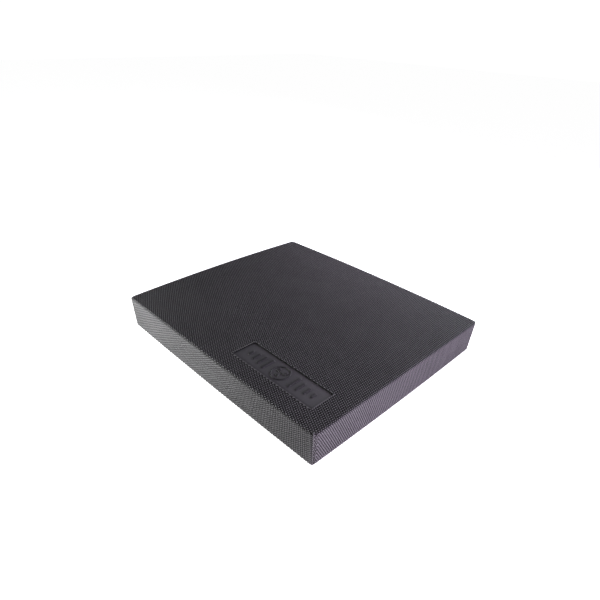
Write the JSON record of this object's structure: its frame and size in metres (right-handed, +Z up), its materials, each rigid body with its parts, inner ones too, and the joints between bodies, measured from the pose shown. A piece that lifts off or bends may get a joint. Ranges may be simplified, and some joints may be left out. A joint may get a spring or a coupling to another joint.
{
  "type": "balance pad",
  "caption": "Soft rectangular foam slab with rounded edges, an embossed non-slip skin and a recessed smooth badge panel, to stand on in balance training.",
  "frame": {"origin": "centre of the base, on the floor", "axes": "+X along the long side, +Y across the pad, away from the badge, +Z up"},
  "size_m": [0.46, 0.4, 0.06],
  "materials": {
    "embossed_skin": "matte, embossed with a close hexagonal lattice of small nubs",
    "foam_board": "matte closed-cell foam",
    "badge": "smooth satin"
  },
  "bodies": {
    "root": {"cover_skin": "embossed_skin", "base_skin": "embossed_skin", "upper_foam_board": "foam_board", "middle_foam_board": "foam_board", "lower_foam_board": "foam_board", "badge_panel": "badge"}
  },
  "joints": []
}
